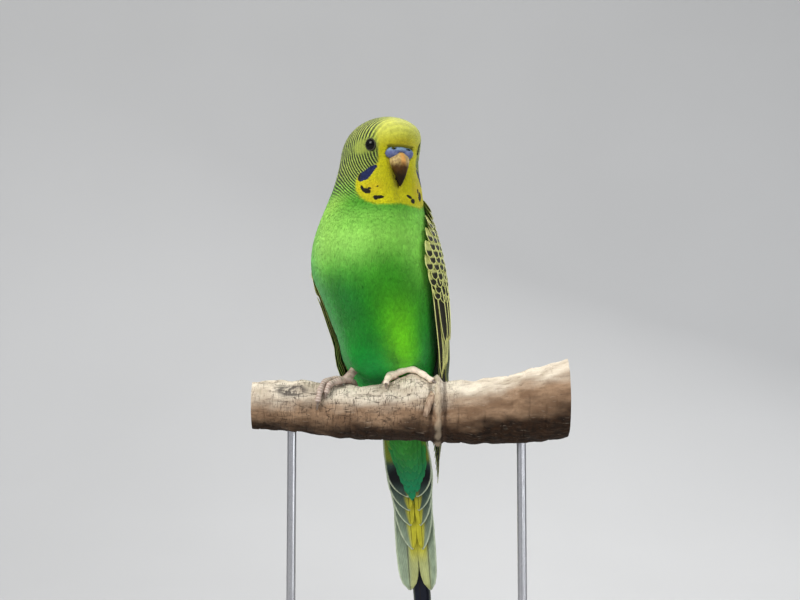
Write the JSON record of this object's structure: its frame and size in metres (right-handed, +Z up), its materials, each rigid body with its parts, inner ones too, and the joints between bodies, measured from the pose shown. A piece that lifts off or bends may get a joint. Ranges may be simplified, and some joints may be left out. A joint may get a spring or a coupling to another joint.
{
  "type": "budgerigar",
  "caption": "Life-size still model of a green budgerigar perched on a cut length of branch, held by a flat base and two short rods.",
  "frame": {"origin": "middle of the display base's flat underside", "axes": "+Z up; the bird's body faces -Y, a little towards -X, and +X is the side of its left wing"},
  "size_m": [0.124, 0.096, 0.2024],
  "materials": {
    "head_feathers": "yellow mask and forehead, fine black bars behind",
    "body_feathers": "soft bright green body feathers",
    "wing_feathers": "dark feathers with yellow-green edges",
    "tail_feathers": "green and blue-black feathers with pale edges",
    "eye": "wet black",
    "cere": "waxy blue skin",
    "bill": "horn, tan above and dark at the tip",
    "foot_skin": "scaly grey-pink skin",
    "bark": "dry cracked bark",
    "stand_paint": "satin pale paint",
    "stand_metal": "brushed"
  },
  "bodies": {
    "root": {"head": "head_feathers", "neck": "body_feathers", "torso": "body_feathers", "thigh_l": "body_feathers", "thigh_r": "body_feathers", "wing_l": "wing_feathers", "wing_r": "wing_feathers", "tail": "tail_feathers", "eye_l": "eye", "eye_r": "eye", "cere": "cere", "bill_upper": "bill", "bill_lower": "bill", "foot_l": "foot_skin", "foot_r": "foot_skin", "perch": "bark", "stand_base": "stand_paint", "stand_rod_l": "stand_metal", "stand_rod_r": "stand_metal"}
  },
  "joints": []
}
